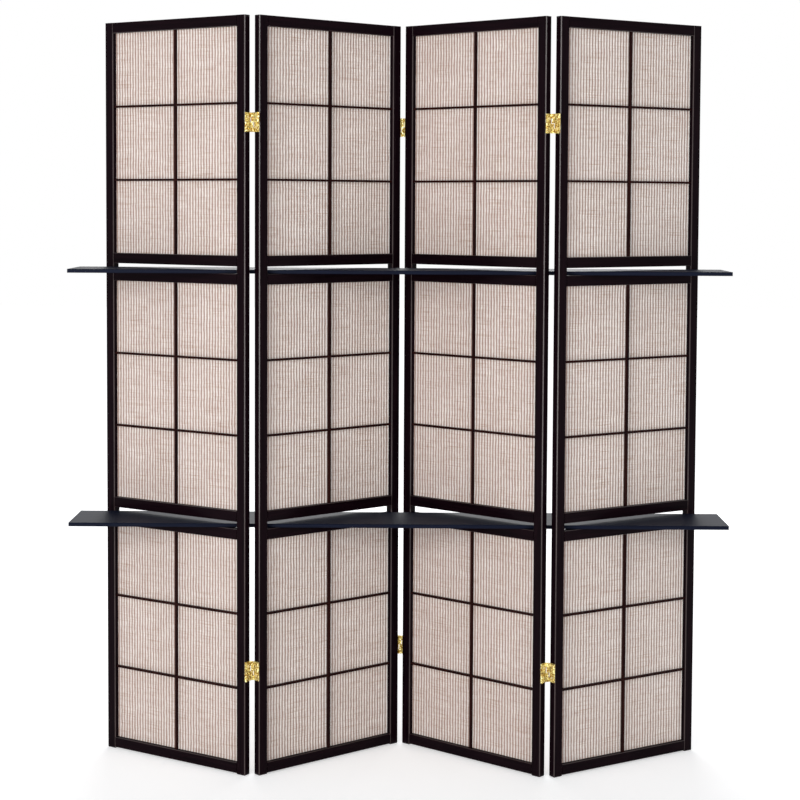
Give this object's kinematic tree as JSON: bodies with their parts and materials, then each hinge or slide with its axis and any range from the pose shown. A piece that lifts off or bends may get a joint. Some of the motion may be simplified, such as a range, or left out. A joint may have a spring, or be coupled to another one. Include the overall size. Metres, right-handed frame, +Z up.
{
  "type": "folding shoji screen",
  "caption": "Folding shoji screen: dark wooden panels on double-acting hinges, with lattice over ribbed cloth and long shelf boards lying through slots.",
  "frame": {"origin": "on the floor, in the middle of the plan of the screen as it stands, shelves included", "axes": "+Z up, +X to the right along the shelves seen from the front, -Y towards the front, to which the two near folds point"},
  "size_m": [1.56, 0.3152, 1.784],
  "materials": {
    "frame_wood": "satin",
    "lattice_wood": "satin",
    "shelf_board": "gloss",
    "screen_cloth": "matte",
    "hinge_brass": "satin",
    "hinge_steel": "satin"
  },
  "bodies": {
    "panel_1": {"panel_1_left_stile": "frame_wood", "panel_1_right_stile": "frame_wood", "panel_1_top_and_bottom_rails": "frame_wood", "panel_1_slot_rails": "frame_wood", "panel_1_lattice_bars": "lattice_wood", "panel_1_cloth": "screen_cloth", "panel_1_cloth_beads": "lattice_wood", "panel_1_hinge_screws": "hinge_steel", "fold_1_left_leaves": "hinge_brass", "fold_1_lower_links": "hinge_brass", "fold_1_lower_shut_pins": "hinge_steel"},
    "panel_2": {"panel_2_left_stile": "frame_wood", "panel_2_right_stile": "frame_wood", "panel_2_top_and_bottom_rails": "frame_wood", "panel_2_slot_rails": "frame_wood", "panel_2_lattice_bars": "lattice_wood", "panel_2_cloth": "screen_cloth", "panel_2_cloth_beads": "lattice_wood", "panel_2_hinge_screws": "hinge_steel", "fold_1_right_leaves": "hinge_brass", "fold_1_upper_links": "hinge_brass", "fold_1_upper_shut_pins": "hinge_steel", "fold_2_left_leaves": "hinge_brass", "fold_2_upper_links": "hinge_brass", "fold_2_upper_shut_pins": "hinge_steel", "fold_1_turning_pins": "hinge_steel"},
    "panel_3": {"panel_3_left_stile": "frame_wood", "panel_3_right_stile": "frame_wood", "panel_3_top_and_bottom_rails": "frame_wood", "panel_3_slot_rails": "frame_wood", "panel_3_lattice_bars": "lattice_wood", "panel_3_cloth": "screen_cloth", "panel_3_cloth_beads": "lattice_wood", "panel_3_hinge_screws": "hinge_steel", "fold_2_right_leaves": "hinge_brass", "fold_2_lower_links": "hinge_brass", "fold_2_lower_shut_pins": "hinge_steel", "fold_3_left_leaves": "hinge_brass", "fold_3_lower_links": "hinge_brass", "fold_3_lower_shut_pins": "hinge_steel", "fold_3_turning_pins": "hinge_steel"},
    "panel_4": {"panel_4_left_stile": "frame_wood", "panel_4_right_stile": "frame_wood", "panel_4_top_and_bottom_rails": "frame_wood", "panel_4_slot_rails": "frame_wood", "panel_4_lattice_bars": "lattice_wood", "panel_4_cloth": "screen_cloth", "panel_4_cloth_beads": "lattice_wood", "panel_4_hinge_screws": "hinge_steel", "fold_3_right_leaves": "hinge_brass", "fold_3_upper_links": "hinge_brass", "fold_3_upper_shut_pins": "hinge_steel"},
    "middle_fold_pins": {"fold_2_turning_pins": "hinge_steel"},
    "upper_shelf": {"upper_shelf": "shelf_board"},
    "lower_shelf": {"lower_shelf": "shelf_board"}
  },
  "joints": [
    {"name": "middle_fold", "type": "hinge", "parent": "panel_2", "child": "panel_3", "pos_m": [0.005, 0.13723, 0], "axis": [0, 0, -1], "range_deg": [-1.5, 98]},
    {"name": "left_fold", "type": "hinge", "parent": "panel_2", "child": "panel_1", "pos_m": [-0.34367, -0.13539, 0], "axis": [0, 0, -1], "range_deg": [-1.62, 105.5]},
    {"name": "right_fold", "type": "hinge", "parent": "panel_3", "child": "panel_4", "pos_m": [0.35367, -0.13539, 0], "axis": [0, 0, 1], "range_deg": [-1.62, 105.5]},
    {"name": "middle_pins_turn", "type": "hinge", "parent": "panel_2", "child": "middle_fold_pins", "pos_m": [0.005, 0.13723, 0], "axis": [0, 0, -1], "range_deg": [-0.75, 49]},
    {"name": "upper_shelf_slide", "type": "slide", "parent": "middle_fold_pins", "child": "upper_shelf", "axis": [1, 0, 0], "range_m": [-0.65, 0.65]},
    {"name": "lower_shelf_slide", "type": "slide", "parent": "middle_fold_pins", "child": "lower_shelf", "axis": [1, 0, 0], "range_m": [-0.65, 0.65]}
  ],
  "couplings": [
    {"joint": "left_fold", "follows": "middle_fold", "ratio": 1.0765},
    {"joint": "right_fold", "follows": "middle_fold", "ratio": 1.0765},
    {"joint": "middle_pins_turn", "follows": "middle_fold", "ratio": 0.5}
  ]
}
